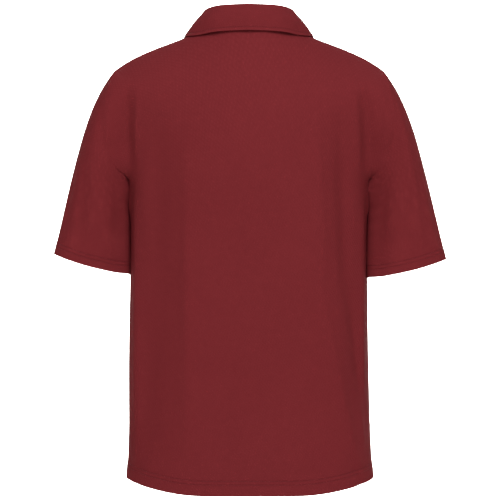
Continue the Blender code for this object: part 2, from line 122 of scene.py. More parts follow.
# %% Find out what each rim is
SEWN_WITHIN = 0.0011
SLIT_ABOVE = -0.45
SHOULDER_ABOVE = -0.1
UPRIGHT = 0.8
NEIGHBOURS = {
    "back": {"sleeve_left": "armhole", "sleeve_right": "armhole", "collar": "neck", "front": "side"},
    "front": {"sleeve_left": "armhole", "sleeve_right": "armhole", "collar": "neck", "back": "side"},
    "sleeve_left": {"back": "armhole", "front": "armhole"},
    "sleeve_right": {"back": "armhole", "front": "armhole"},
    "collar": {"back": "neck", "front": "neck"},
    "placket_under": {},
    "placket_upper": {},
}


def surface_of(piece):
    """A piece's faces, ready to be asked for the place nearest to a point."""
    points = [vertex.co.copy() for vertex in piece.data.vertices]
    return BVHTree.FromPolygons(points, [tuple(face.vertices) for face in piece.data.polygons])


surfaces = {node: surface_of(piece) for node, piece in cloth.items()}


def rims_of(node):
    """Lists of edges, as pairs of points, for each kind of rim that a piece has."""
    piece = cloth[node]
    found = {}
    for edge in piece.data.edges:
        if not edge.use_edge_sharp:
            continue
        ends = [piece.data.vertices[i].co for i in edge.vertices]
        kind = None
        for other, sewn_as in NEIGHBOURS[node].items():
            near = [surfaces[other].find_nearest(end)[3] for end in ends]
            if max(near) < SEWN_WITHIN:
                kind = sewn_as
                break
        if kind is None:
            run = ends[1] - ends[0]
            upright = abs(run.z) > UPRIGHT * run.length
            kind = "vent" if upright and node in ("back", "front") else "hem"
        if node == "front" and kind in ("vent", "hem") and ends[0].z > SLIT_ABOVE:
            kind = "slit"
        if kind == "side" and ends[0].z > SHOULDER_ABOVE:
            kind = "shoulder"
        found.setdefault(kind, []).append((np.array(ends[0]), np.array(ends[1])))
    return found


rims = {node: rims_of(node) for node in CLOTH_NODES}
for node, kinds in rims.items():
    lengths = {}
    for kind, edges in kinds.items():
        lengths[kind] = round(float(sum(np.linalg.norm(b - a) for a, b in edges) / 2), 3)
    print(node, lengths)

# %% [markdown]
# ## Laying the pieces flat
#
# The knit has to run along the cloth, so every piece needs a flat map of itself: its
# paper pattern. Blender's unwrap makes one for each side of the wall, cut along the
# rims. It is then turned until its upright is the shirt's upright, and scaled to metres,
# so that a knit cell is as wide on a cuff as it is on the back.

# %% Unwrap a piece into its pattern, in metres
PATTERN = "pattern"
SMALLEST_ISLAND = 12


def flat_pattern(piece):
    """Unwraps a piece along its rims."""
    mesh = piece.data
    mesh.uv_layers.new(name=PATTERN)
    bpy.context.view_layer.objects.active = piece
    piece.select_set(True)
    bpy.ops.object.mode_set(mode="EDIT")
    bpy.ops.mesh.select_all(action="SELECT")
    bpy.ops.uv.unwrap(method="CONFORMAL", margin=0.01)
    bpy.ops.object.mode_set(mode="OBJECT")
    piece.select_set(False)
    square_up(mesh)


def square_up(mesh):
    """Turns and scales each flat island so that its units are metres and its top is up."""
    layer = mesh.uv_layers[PATTERN].data
    flat = np.array([tuple(loop.uv) for loop in layer])
    points = np.array([tuple(vertex.co) for vertex in mesh.vertices])
    corners = np.array([loop.vertex_index for loop in mesh.loops])
    owner = {}

    def root(item):
        while owner.setdefault(item, item) != item:
            item = owner[item]
        return item

    for face in mesh.polygons:
        keys = [(corners[i], round(flat[i][0], 5), round(flat[i][1], 5)) for i in face.loop_indices]
        for other in keys[1:]:
            owner[root(keys[0])] = root(other)
    islands = {}
    for i, corner in enumerate(corners):
        islands.setdefault(root((corner, round(flat[i][0], 5), round(flat[i][1], 5))), []).append(i)
    for loops in islands.values():
        if len(loops) < SMALLEST_ISLAND:
            continue
        on_map = flat[loops]
        in_room = points[corners[loops]]
        centre = on_map.mean(axis=0)
        offsets = on_map - centre
        slope = np.linalg.lstsq(offsets, in_room - in_room.mean(axis=0), rcond=None)[0]
        up = slope[:, 2] / (np.linalg.norm(slope[:, 2]) + 1e-12)
        turn = np.array(((up[1], -up[0]), (up[0], up[1])))
        flat[loops] = offsets @ turn.T
        size = np.sqrt(surface_share(mesh, loops, flat))
        flat[loops] *= size
    for i, loop in enumerate(layer):
        loop.uv = flat[i]


def surface_share(mesh, loops, flat):
    """How many times larger an island is on the shirt than on its map."""
    inside = set(loops)
    real, drawn = 0.0, 0.0
    for face in mesh.polygons:
        if face.loop_indices[0] in inside:
            real += face.area
            ring = flat[list(face.loop_indices)]
            after = np.roll(ring, -1, axis=0)
            drawn += abs(np.sum(ring[:, 0] * after[:, 1] - ring[:, 1] * after[:, 0])) / 2
    return real / max(drawn, 1e-12)


for node, piece in cloth.items():
    flat_pattern(piece)
    flat = np.array([tuple(loop.uv) for loop in piece.data.uv_layers[PATTERN].data])
    print(node, "pattern spans", np.round(np.ptp(flat, axis=0), 3))

# %% [markdown]
# ## Refining the cloth
#
# Two levels of subdivision bring the grid from about 15 mm to 4 mm, fine enough for a
# crease. The rims carry a full crease, so the seams stay where the solids have them.

# %% Subdivide every piece
CLOTH_LEVELS = 2


def refine(piece, levels):
    """Gives a piece its subdivided mesh in place of its coarse one."""
    modifier = piece.modifiers.new("smooth", "SUBSURF")
    modifier.levels = levels
    modifier.render_levels = levels
    modifier.use_limit_surface = True
    modifier.boundary_smooth = "PRESERVE_CORNERS"
    graph = bpy.context.evaluated_depsgraph_get()
    mesh = bpy.data.meshes.new_from_object(piece.evaluated_get(graph), depsgraph=graph)
    piece.modifiers.clear()
    piece.data = mesh


for node, piece in cloth.items():
    refine(piece, CLOTH_LEVELS)
    print(node, len(piece.data.vertices), "points")

# %% [markdown]
# ## Folds
#
# A knit shirt hangs in a few long soft folds and many faint ones. Each fold is a row in
# a table: which side of the shirt it is looked at from, where it starts and ends, how far
# it bows, how wide and how high it is. A negative height is a trough. How deep in the
# room a fold lies is found by looking at the shirt from that side, so every one lies on
# the cloth. Seen from the back or front, across is x, and from the left or right it is y.
#
# A fold moves whatever lies close to it, whichever piece that is. This way two pieces
# that meet at a seam, or a wall's two faces, move together and never come apart.

# %% The table of folds
FOLDS = (  # seen from, across and z at its top, across and z at its end, bow, width, height
    ("back", 0.0950, -0.150, 0.0950, -0.660, 0.000, 0.008, 0.0036),
    ("back", 0.138, -0.120, 0.142, -0.440, 0.000, 0.021, -0.0066),
    ("back", 0.142, -0.380, 0.160, -0.690, 0.000, 0.024, -0.0070),
    ("back", -0.104, -0.120, -0.112, -0.430, 0.000, 0.008, 0.0042),
    ("back", -0.112, -0.400, -0.170, -0.680, 0.004, 0.010, 0.0060),
    ("back", -0.141, -0.120, -0.147, -0.400, 0.000, 0.015, -0.0066),
    ("back", -0.148, -0.370, -0.180, -0.620, 0.000, 0.013, -0.0062),
    ("back", 0.186, -0.088, 0.190, -0.215, 0.000, 0.011, -0.0080),
    ("back", 0.170, -0.088, 0.172, -0.240, 0.000, 0.006, 0.0034),
    ("back", -0.176, -0.088, -0.186, -0.215, 0.000, 0.011, -0.0080),
    ("back", -0.160, -0.088, -0.172, -0.240, 0.000, 0.006, 0.0034),
    ("back", 0.207, -0.180, 0.190, -0.262, 0.000, 0.018, 0.0130),
    ("back", -0.203, -0.188, -0.191, -0.268, 0.000, 0.013, 0.0130),
    ("back", 0.173, -0.225, 0.173, -0.650, 0.000, 0.013, 0.0060),
    ("back", -0.173, -0.225, -0.173, -0.650, 0.000, 0.013, 0.0060),
    ("back", 0.206, -0.085, 0.209, -0.225, 0.008, 0.007, 0.0042),
    ("back", -0.201, -0.085, -0.204, -0.215, -0.008, 0.007, 0.0034),
    ("back", 0.250, -0.200, 0.263, -0.350, 0.000, 0.010, -0.0030),
    ("back", 0.214, -0.220, 0.220, -0.360, 0.000, 0.014, 0.0024),
    ("back", -0.232, -0.130, -0.268, -0.350, -0.003, 0.010, 0.0030),
    ("back", -0.222, -0.150, -0.250, -0.350, -0.003, 0.010, -0.0025),
    ("back", -0.016, -0.560, -0.018, -0.640, 0.000, 0.012, -0.0014),
    ("back", 0.040, -0.400, 0.046, -0.690, 0.003, 0.022, -0.0016),
    ("back", -0.060, -0.450, -0.066, -0.700, -0.003, 0.020, 0.0016),
    ("back", -0.152, -0.640, -0.176, -0.712, 0.000, 0.008, -0.0040),
    ("back", 0.150, -0.640, 0.160, -0.712, 0.000, 0.012, 0.0024),
    ("front", 0.098, -0.160, 0.112, -0.640, 0.004, 0.011, 0.0034),
    ("front", 0.126, -0.140, 0.146, -0.620, 0.003, 0.017, -0.0062),
    ("front", -0.108, -0.170, -0.125, -0.600, 0.004, 0.011, 0.0034),
    ("front", -0.138, -0.150, -0.158, -0.560, 0.004, 0.017, -0.0062),
    ("front", 0.176, -0.100, 0.184, -0.230, 0.000, 0.008, -0.0075),
    ("front", -0.174, -0.096, -0.184, -0.230, 0.000, 0.008, -0.0075),
    ("front", 0.055, -0.262, 0.150, -0.190, 0.004, 0.012, -0.0028),
    ("front", -0.062, -0.286, -0.150, -0.200, -0.004, 0.013, -0.0030),
    ("front", 0.034, -0.330, 0.044, -0.700, 0.004, 0.018, -0.0032),
    ("front", -0.044, -0.360, -0.056, -0.700, 0.003, 0.017, 0.0028),
    ("front", 0.244, -0.180, 0.262, -0.345, 0.000, 0.010, -0.0030),
    ("front", -0.246, -0.190, -0.264, -0.350, 0.000, 0.011, -0.0028),
    ("front", 0.218, -0.200, 0.224, -0.350, 0.000, 0.013, 0.0022),
    ("left", 0.020, -0.170, 0.030, -0.340, 0.000, 0.012, -0.0022),
    ("left", -0.022, -0.150, -0.020, -0.340, 0.000, 0.012, 0.0022),
    ("right", 0.014, -0.180, 0.022, -0.345, 0.000, 0.012, -0.0024),
    ("right", -0.026, -0.160, -0.024, -0.345, 0.000, 0.012, 0.0020),
    ("left", 0.034, -0.400, 0.044, -0.640, 0.000, 0.013, 0.0020),
    ("right", -0.030, -0.410, -0.040, -0.640, 0.000, 0.013, 0.0020),
)
VIEW_WAYS = {
    "back": np.array((0, -1, 0)),
    "front": np.array((0, 1, 0)),
    "left": np.array((-1, 0, 0)),
    "right": np.array((1, 0, 0)),
}


def look_at_shirt(seen_from, across, z):
    """The place and outward way of the cloth, seen from one side."""
    way = VIEW_WAYS[seen_from]
    start = (across, -way[1], z) if way[1] else (-way[0], across, z)
    best = None
    for node in ("back", "front", "sleeve_left", "sleeve_right"):
        spot, normal, _, gap = surfaces[node].ray_cast(Vector(start), Vector(way))
        if spot is not None and (best is None or gap < best[2]):
            best = (np.array(spot), np.array(normal), gap)
    return best and best[:2]


FOLD_SAMPLES = 40
EVENED_OVER = 6
END_MARGIN = 0.02
BLUNT = 0.7
fold_curves = []
for seen_from, across_top, z_top, across_end, z_end, bow, width, height in FOLDS:
    t = np.linspace(0, 1, FOLD_SAMPLES)
    across = across_top + (across_end - across_top) * t + bow * 4 * t * (1 - t)
    heights = z_top + (z_end - z_top) * t
    seen = [look_at_shirt(seen_from, a, z) for a, z in zip(across, heights)]
    on_cloth = np.array([hit is not None for hit in seen])
    spots, ways = (np.array(part) for part in zip(*[hit for hit in seen if hit]))
    spans = [ways[max(i - EVENED_OVER, 0):i + EVENED_OVER + 1] for i in range(len(ways))]
    ways = np.array([span.mean(axis=0) for span in spans]) - VIEW_WAYS[seen_from]
    ways /= np.linalg.norm(ways, axis=1)[:, None]
    strength = np.sin(math.pi * np.clip(t, END_MARGIN, 1 - END_MARGIN)) ** BLUNT
    fold_curves.append((spots, ways, strength[on_cloth], width, height))
print(len(fold_curves), "folds")

# %% Press the folds into the cloth
REACH = 2.8


def folded(points):
    """The points, each moved by every fold that it lies near."""
    moved = points.copy()
    for spots, ways, strength, width, height in fold_curves:
        low, high = spots.min(axis=0) - REACH * width, spots.max(axis=0) + REACH * width
        near = np.where(np.all((points > low) & (points < high), axis=1))[0]
        if not len(near):
            continue
        gaps = np.linalg.norm(points[near, None, :] - spots[None, :, :], axis=2)
        nearest = gaps.argmin(axis=1)
        away = gaps[np.arange(len(near)), nearest]
        rise = height * strength[nearest] * np.exp(-((away / width) ** 2))
        moved[near] += ways[nearest] * rise[:, None]
    return moved


def points_of(mesh):
    flat = np.empty(len(mesh.vertices) * 3)
    mesh.vertices.foreach_get("co", flat)
    return flat.reshape(-1, 3)


def put_points(mesh, points):
    mesh.vertices.foreach_set("co", np.asarray(points, float).ravel())
    mesh.update()


for node, piece in cloth.items():
    before = points_of(piece.data)
    after = folded(before)
    put_points(piece.data, after)
    most = float(np.linalg.norm(after - before, axis=1).max())
    print(node, "moved at most", round(most * 1000, 1), "mm")

# %% [markdown]
# ## Distance from the hems
#
# A hem is sewn at an even distance from its edge. Each point of the cloth keeps how far
# it lies from the nearest finished edge, as an attribute. The material draws the sunk
# line of the stitches from it, and the stitches themselves follow the same line. The
# vents at the sides have a distance of their own.

# %% Measure from the finished edges
EDGE_STEP = 0.0015


def dense_points(edges):
    """Close points along the edges, folded as the cloth is."""
    spots = []
    for a, b in edges:
        count = max(2, int(np.linalg.norm(b - a) / EDGE_STEP))
        spots.extend(a + (b - a) * t for t in np.linspace(0, 1, count))
    return folded(np.array(spots))


def distance_from(edges, points):
    spots = dense_points(edges)
    tree = KDTree(len(spots))
    for i, spot in enumerate(spots):
        tree.insert(spot, i)
    tree.balance()
    return np.array([tree.find(point)[2] for point in points])


def keep_distance(piece, name, values):
    layer = piece.data.attributes.new(name, "FLOAT", "POINT")
    layer.data.foreach_set("value", np.asarray(values, float))


FROM_HEM = "from_hem"
hem_distance = {}
for node, piece in cloth.items():
    values = distance_from(rims[node]["hem"], points_of(piece.data))
    hem_distance[node] = values
    keep_distance(piece, FROM_HEM, values)
    print(node, "reaches", round(float(values.max()), 3), "m from its finished edge")
FROM_VENT = "from_vent"
vent_distance = {}
for node in ("back", "front"):
    vent_distance[node] = distance_from(rims[node]["vent"], points_of(cloth[node].data))
    keep_distance(cloth[node], FROM_VENT, vent_distance[node])

# %% [markdown]
# ## Sleeves against the body, collar against the shoulders
#
# An arm hangs close to the body, so the inside of a sleeve rests on the shirt's side, and
# nothing shows between them from behind. The leaf of the collar rests on the shoulders in
# the same way. Each point near the contact is moved towards the cloth that it rests on
# until only a hair is left, and its wall's other face moves by the same amount.
#
# The edges of a seam are brought together too, and the cloth round an underarm, where
# four edges meet, is evened out as if it were one piece.

# %% Rest one piece on another
WALL = 0.0016
HAIR = 0.0006
THREAD_GAP = 0.00001
LEAST_WEIGHT = 0.001
TUCK = 0.006
TUCK_ASIDE = (0.200, -0.020)
TUCK_Y = (0.012, 0.020)
TUCK_Z = (-0.242, -0.030)
REST_FROM_BACK = (0.058, -0.014)
REST_FROM_FRONT = (-0.060, 0.030)
REST_Z = (-0.234, -0.008)
REST_ASIDE = (0.206, -0.014)


def eased(value):
    value = np.clip(value, 0.0, 1.0)
    return value * value * (3 - 2 * value)


def ramp(value, start, over):
    """Grows softly from nothing at start to one, over the given distance."""
    return eased((value - start) / over)


def nearest_on(carriers, point):
    """The nearest hit of several surfaces: its place, normal, face and distance."""
    return min((c.find_nearest(Vector(point)) for c in carriers), key=lambda hit: hit[3])


def normals_of(mesh):
    flat = np.empty(len(mesh.vertices) * 3)
    mesh.vertices.foreach_get("normal", flat)
    return flat.reshape(-1, 3)


def rest_on(piece, carriers, weights):
    """Moves a piece's points towards the nearest carrier, as far as the weights say."""
    points, normals = points_of(piece.data), normals_of(piece.data)
    most = 0.0
    for i in np.where(weights > LEAST_WEIGHT)[0]:
        _, way, _, gap = nearest_on(carriers, points[i])
        near_side = np.dot(normals[i], way) < 0
        move = weights[i] * max(0.0, gap - HAIR - (0.0 if near_side else WALL))
        points[i] -= np.array(way) * move
        most = max(most, move)
    put_points(piece.data, points)
    return most


def close_seams():
    """Brings the two edges of each seam together, half the way each."""
    now = {node: surface_of(piece) for node, piece in cloth.items()}
    for node, piece in cloth.items():
        points = points_of(piece.data)
        for i, point in enumerate(points):
            for other in NEIGHBOURS[node]:
                spot, _, _, gap = now[other].find_nearest(Vector(point), SEWN_WITHIN)
                if spot is not None and gap > THREAD_GAP:
                    points[i] = point + (np.array(spot) - point) * (0.5 - 0.5 * THREAD_GAP / gap)
                    break
        put_points(piece.data, points)


close_seams()
body_surfaces = [surface_of(cloth["back"]), surface_of(cloth["front"])]
for node in ("sleeve_left", "sleeve_right"):
    places = points_of(cloth[node].data)
    aside, y, z = np.abs(places[:, 0]), places[:, 1], places[:, 2]
    tucked = TUCK * ramp(aside, *TUCK_ASIDE) * ramp(y, *TUCK_Y) * ramp(z, *TUCK_Z)
    put_points(cloth[node].data, places - np.outer(tucked, (0.0, 1.0, 0.0)))
    weights = ramp(y, *REST_FROM_BACK) * ramp(y, *REST_FROM_FRONT)
    weights *= ramp(z, *REST_Z) * ramp(aside, *REST_ASIDE)
    most = rest_on(cloth[node], body_surfaces, weights)
    print(node, "moved towards the body by", round(most * 1000, 1), "mm")

# %% Soften the underarm, across its seam
UNDERARM = np.array((0.196, 0.0, -0.225))
UNDERARM_REACH = 0.060
UNDERARM_FADE = 0.035
UNDERARM_STRETCH = (1.0, 0.55, 0.8)
SOFT_RADIUS = 0.011
SOFT_ROUNDS = 7
SOFT_SHARE = 0.6
FACING_ALIKE = 0.1


def soften(hand):
    """Evens the cloth round an underarm, treating the pieces that meet there as one."""
    nodes = ("back", "front", "sleeve_left" if hand > 0 else "sleeve_right")
    points = {node: points_of(cloth[node].data) for node in nodes}
    weights = {}
    for node in nodes:
        offsets = (points[node] - UNDERARM * (hand, 1, 1)) * UNDERARM_STRETCH
        weights[node] = ramp(np.linalg.norm(offsets, axis=1), UNDERARM_REACH, -UNDERARM_FADE)
    for _ in range(SOFT_ROUNDS):
        rows = [(node, i) for node in nodes for i in np.where(weights[node] > 0.0)[0]]
        places = np.array([points[node][i] for node, i in rows])
        ways = {node: normals_of(cloth[node].data) for node in nodes}
        facing = np.array([ways[node][i] for node, i in rows])
        tree = KDTree(len(rows))
        for k, place in enumerate(places):
            tree.insert(place, k)
        tree.balance()
        for k, (node, i) in enumerate(rows):
            near = [item[1] for item in tree.find_range(places[k], SOFT_RADIUS)]
            alike = [j for j in near if np.dot(facing[j], facing[k]) > FACING_ALIKE] or [k]
            step = np.dot(places[alike].mean(axis=0) - places[k], facing[k])
            points[node][i] = places[k] + facing[k] * step * SOFT_SHARE * weights[node][i]
        for node in nodes:
            put_points(cloth[node].data, points[node])


for hand in (1, -1):
    soften(hand)
close_seams()
print("underarms softened")

# %% Lower the leaf of the collar
LEAF_RESTS = 0.026
LEAF_Y = (-0.060, 0.050)
LEAF_EVENED = 0.008
LEAF_MOST = 0.005


def lower_leaf(piece, carriers):
    """Moves the leaf's edge down to what it lies on, and the cloth above it less and less."""
    spots = dense_points(rims["collar"]["hem"])
    tree = KDTree(len(spots))
    for i, spot in enumerate(spots):
        tree.insert(spot, i)
    tree.balance()
    hits = [nearest_on(carriers, spot) for spot in spots]
    ways = np.array([hit[1] for hit in hits])
    gaps = np.array([hit[3] for hit in hits])
    points = points_of(piece.data)
    weights = ramp(hem_distance["collar"], LEAF_RESTS, -LEAF_RESTS) * ramp(points[:, 1], *LEAF_Y)
    most = 0.0
    for i in np.where(weights > LEAST_WEIGHT)[0]:
        below = spots[tree.find(points[i])[1]]
        near = [item[1] for item in tree.find_range(below, LEAF_EVENED)]
        move = weights[i] * np.clip(gaps[near].min() - HAIR, 0.0, LEAF_MOST)
        way = ways[near].mean(axis=0)
        points[i] -= way / np.linalg.norm(way) * move
        most = max(most, move)
    put_points(piece.data, points)
    return most


most = lower_leaf(cloth["collar"], body_surfaces + [surface_of(cloth["placket_upper"])])
print("collar moved towards the shoulders by", round(most * 1000, 1), "mm")

# %% [markdown]
# ## A small language for materials
#
# Node trees are easier to read as sums. A Wire holds one output of a node, and adding or
# multiplying wires adds the Math nodes that do it. A Finish is one material, with one way
# to add any node, and short names for the three that every finish here uses.

# %% Wires and trees
class Wire:
    """One output socket of a material. Arithmetic on it adds Math nodes."""

    def __init__(self, tree, socket):
        self.tree = tree
        self.socket = socket

    def _math(self, operation, first, second=None):
        values = {0: first} if second is None else {0: first, 1: second}
        return self.tree.add("ShaderNodeMath", {"operation": operation}, values)

    def __add__(self, other):
        return self._math("ADD", self, other)

    __radd__ = __add__

    def __mul__(self, other):
        return self._math("MULTIPLY", self, other)

    __rmul__ = __mul__

    def __sub__(self, other):
        return self._math("SUBTRACT", self, other)

    def __rsub__(self, other):
        return self._math("SUBTRACT", other, self)

    def __truediv__(self, other):
        return self._math("DIVIDE", self, other)

    def sine(self):
        return self._math("SINE", self)

    def clipped(self):
        return self.tree.add("ShaderNodeClamp", {}, {0: self, 1: 0.0, 2: 1.0})

    def bell(self, centre, width):
        """One near centre, falling off to nothing within about two widths."""
        away = (self - centre) / width
        return self._math("EXPONENT", away * away * -1.0)


class Finish:
    """A material, and one way to add any node to it."""

    def __init__(self, name):
        self.material = bpy.data.materials.new(name)
        self.material.use_nodes = True
        self.nodes = self.material.node_tree.nodes
        self.links = self.material.node_tree.links
        self.nodes.clear()

    def add(self, kind, settings, values, output=0):
        node = self.nodes.new(kind)
        for key, value in settings.items():
            setattr(node, key, value)
        for key, value in values.items():
            if isinstance(value, Wire):
                self.links.new(value.socket, node.inputs[key])
            else:
                node.inputs[key].default_value = value
        return Wire(self, node.outputs[output])

    def noise(self, scale, detail, distortion=0.0):
        """Soft random values between nothing and one, fixed to the object."""
        room = self.add("ShaderNodeTexCoord", {}, {}, "Object")
        values = {"Vector": room, "Scale": scale, "Detail": detail, "Distortion": distortion}
        return self.add("ShaderNodeTexNoise", {}, values)

    def blend(self, share, first, second):
        """A colour between two others."""
        values = {0: share, 6: (*first, 1.0), 7: (*second, 1.0)}
        return self.add("ShaderNodeMix", {"data_type": "RGBA"}, values, 2)

    def bump(self, strength, height):
        values = {"Strength": strength, "Distance": 1.0, "Height": height}
        return self.add("ShaderNodeBump", {}, values)

    def close(self, shader):
        output = self.nodes.new("ShaderNodeOutputMaterial")
        self.links.new(shader.socket, output.inputs["Surface"])
        return self.material


print("materials can be written as sums")

# %% [markdown]
# ## Pique
#
# Pique is knitted in small raised cells, staggered like a honeycomb, so it looks like
# fine crossing diagonals. Two crossing waves along the piece's own pattern give the
# cells. The yarn is not perfectly even, so a fine noise breaks them up, and two softer
# ones shift the colour a little, as in a dyed cotton.
#
# Near a hem the bump sinks along the lines of stitching, and the colour is darkened along them and in
# the hollows between the cells: painted shade. The very edge is paler, where the dye has worn off first.

# %% The knitted finishes
DYE = (0.172, 0.0215, 0.0255)
# The darker colour is the yarn's darker tone and also the painted shade between the knit cells and in
# the stitch grooves.
DARK_DYE_AND_SHADE = (0.130, 0.0150, 0.0185)
CELL_WIDE = 0.0032
CELL_HIGH = 0.0062
KNIT_DEPTH = 0.00032
GROOVE_WIDTH = 0.0010
GROOVE_DEPTH = 0.0004
VENT_ROW = 0.0060
WORN_WIDTH = 0.0013
YARN_SCALE = 420.0
CLOUD_SCALE = 9.0
MOTTLE_SCALE = 160.0


def pique(name, stitch_rows, cell_scale=1.0):
    """The shirt's knit, with grooves at the given distances from a finished edge, and painted shade in
    its hollows and grooves.
    """
    finish = Finish(name)
    flat = finish.add("ShaderNodeUVMap", {"uv_map": PATTERN}, {})
    across = finish.add("ShaderNodeSeparateXYZ", {}, {0: flat}, 0)
    along = finish.add("ShaderNodeSeparateXYZ", {}, {0: flat}, 1)
    uneven = finish.noise(YARN_SCALE, 2.0)
    u = across / (CELL_WIDE * cell_scale) + uneven * 0.30
    v = along / (CELL_HIGH * cell_scale) + uneven * 0.30
    one_way = ((u + v) * math.pi).sine()
    other_way = ((u - v) * math.pi).sine()
    cells = one_way * one_way * other_way * other_way
    from_hem = finish.add("ShaderNodeAttribute", {"attribute_name": FROM_HEM}, {}, "Fac")
    groove = from_hem * 0.0
    for row in stitch_rows:
        groove = groove + from_hem.bell(row, GROOVE_WIDTH)
    from_vent = finish.add("ShaderNodeAttribute", {"attribute_name": FROM_VENT}, {}, "Fac")
    groove = groove + from_vent.bell(VENT_ROW, GROOVE_WIDTH)
    worn = from_hem.bell(0.0, WORN_WIDTH)
    height = cells * KNIT_DEPTH + uneven * (KNIT_DEPTH * 0.7) - groove * GROOVE_DEPTH
    cloudy = finish.noise(CLOUD_SCALE, 3.0)
    mottled = finish.noise(MOTTLE_SCALE, 2.0)
    # Share of the darker colour: cloudy and mottled noise are the yarn's uneven tone, the hollows
    # between the cells and the stitch grooves get painted shade, and worn pales the very edge.
    dye_and_shade = cloudy * 0.35 + mottled * 0.45 + (1.0 - cells) * 0.30 + groove * 0.35 - worn * 0.40
    shader = finish.add(
        "ShaderNodeBsdfPrincipled",
        {},
        {
            "Base Color": finish.blend(dye_and_shade.clipped(), DYE, DARK_DYE_AND_SHADE),
            "Roughness": cloudy * 0.06 + 0.86,
            "Normal": finish.bump(0.9, height),
            "Specular IOR Level": 0.02,
        },
    )
    return finish.close(shader)


HEM_ROWS = (0.0170, 0.0228)
CUFF_ROWS = (0.0120, 0.0176)
LEAF_ROWS = (0.0050,)
STRIP_ROWS = (0.0025,)
finishes = {
    "body": pique("pique_body", HEM_ROWS),
    "sleeve": pique("pique_sleeve", CUFF_ROWS),
    "collar": pique("pique_collar", LEAF_ROWS, 0.8),
    "strip": pique("pique_strip", STRIP_ROWS),
}
FINISH_OF = {
    "back": "body",
    "front": "body",
    "sleeve_left": "sleeve",
    "sleeve_right": "sleeve",
    "collar": "collar",
    "placket_under": "strip",
    "placket_upper": "strip",
}
for node, piece in cloth.items():
    piece.data.materials.clear()
    piece.data.materials.append(finishes[FINISH_OF[node]])
print(list(finishes))

# %% [markdown]
# ## Sewing
#
# Every row of stitches follows a line of equal distance from an edge. The line is found
# on the cloth face by face, so the stitches lie on it, folds and all. Hems are sewn with
# twin needles. The collar's leaf, the placket and the side vents have one row each.
#
# One stitch is modelled. Geometry nodes set it along each line at an even pitch, turned
# along the line and out of the cloth, a little uneven in length as real stitches are.

# %% Lines on the cloth
OUTWARD = "outward"
SHORTEST_LINE = 6


def level_lines(mesh, values, level, keep=None):
    """Chains of places and normals where a value on the mesh reaches a level."""
    points, normals = points_of(mesh), normals_of(mesh)
    spots, links = {}, {}
    for face in mesh.polygons:
        ring = list(face.vertices)
        if keep is not None and not keep(np.array(face.normal)):
            continue
        crossed = []
        for a, b in zip(ring, ring[1:] + ring[:1]):
            if (values[a] < level) != (values[b] < level):
                key = (min(a, b), max(a, b))
                t = (level - values[a]) / (values[b] - values[a])
                place = points[a] + (points[b] - points[a]) * t
                way = normals[a] + (normals[b] - normals[a]) * t
                spots[key] = (place, way)
                crossed.append(key)
        if len(crossed) == 2:
            links.setdefault(crossed[0], []).append(crossed[1])
            links.setdefault(crossed[1], []).append(crossed[0])
    return chained(spots, links)


def chained(spots, links):
    """Orders linked places into lines, each begun at an open end where there is one."""
    left = set(links)
    chains = []
    ends = [key for key in sorted(links) if len(links[key]) == 1]
    for start in ends + sorted(links):
        if start not in left:
            continue
        chain, here = [], start
        while here is not None:
            left.discard(here)
            chain.append(spots[here])
            here = next((key for key in links[here] if key in left), None)
        if len(chain) > SHORTEST_LINE:
            chains.append(chain)
    return chains


def line_object(name, chains):
    """A mesh of the chains as plain edges, each point knowing the way out of the cloth."""
    points, ways, edges = [], [], []
    for chain in chains:
        first = len(points)
        points += [tuple(place) for place, _ in chain]
        ways += [way / np.linalg.norm(way) for _, way in chain]
        edges += [(i, i + 1) for i in range(first, len(points) - 1)]
    mesh = bpy.data.meshes.new(name)
    mesh.from_pydata(points, edges, [])
    layer = mesh.attributes.new(OUTWARD, "FLOAT_VECTOR", "POINT")
    layer.data.foreach_set("vector", np.array(ways, float).ravel())
    line = bpy.data.objects.new(name, mesh)
    bpy.context.scene.collection.objects.link(line)
    return line


print("lines can be found on", len(cloth), "pieces")

# %% One stitch
THREAD_RADIUS = 0.00026
STITCH_RINGS = 7
STITCH_SIDES = 6
STITCH_LENGTH = 0.0023
SATIN_LENGTH = 0.0019


def one_stitch(name, length, axis):
    """A short bowed thread along an axis, 0 for x or 1 for y. Its ends dip into the cloth."""
    shape = bmesh.new()
    rings = []
    for step in range(STITCH_RINGS):
        along = -1 + 2 * step / (STITCH_RINGS - 1)
        middle = THREAD_RADIUS * (0.55 - 1.5 * along**4)
        radius = THREAD_RADIUS * (1 - 0.35 * along**4)
        ring = []
        for side in range(STITCH_SIDES):
            turn = 2 * math.pi * side / STITCH_SIDES
            spot = [0.0, 0.0, middle + radius * math.sin(turn)]
            spot[axis] = along * length / 2
            spot[1 - axis] = radius * math.cos(turn)
            ring.append(shape.verts.new(spot))
        rings.append(ring)
    for low, high in zip(rings, rings[1:]):
        for side in range(STITCH_SIDES):
            after = (side + 1) % STITCH_SIDES
            shape.faces.new((low[side], low[after], high[after], high[side]))
    shape.faces.new(rings[0][::-1])
    shape.faces.new(rings[-1])
    bmesh.ops.recalc_face_normals(shape, faces=shape.faces)
    mesh = bpy.data.meshes.new(name)
    shape.to_mesh(mesh)
    shape.free()
    mesh.shade_smooth()
    stitch = bpy.data.objects.new(name, mesh)
    bpy.context.scene.collection.objects.link(stitch)
    return stitch


running_stitch = one_stitch("running_stitch", STITCH_LENGTH, 0)
satin_stitch = one_stitch("satin_stitch", SATIN_LENGTH, 1)
print("one stitch has", len(running_stitch.data.polygons), "faces")

# %% The nodes that sew
LENGTH_SEED = 11


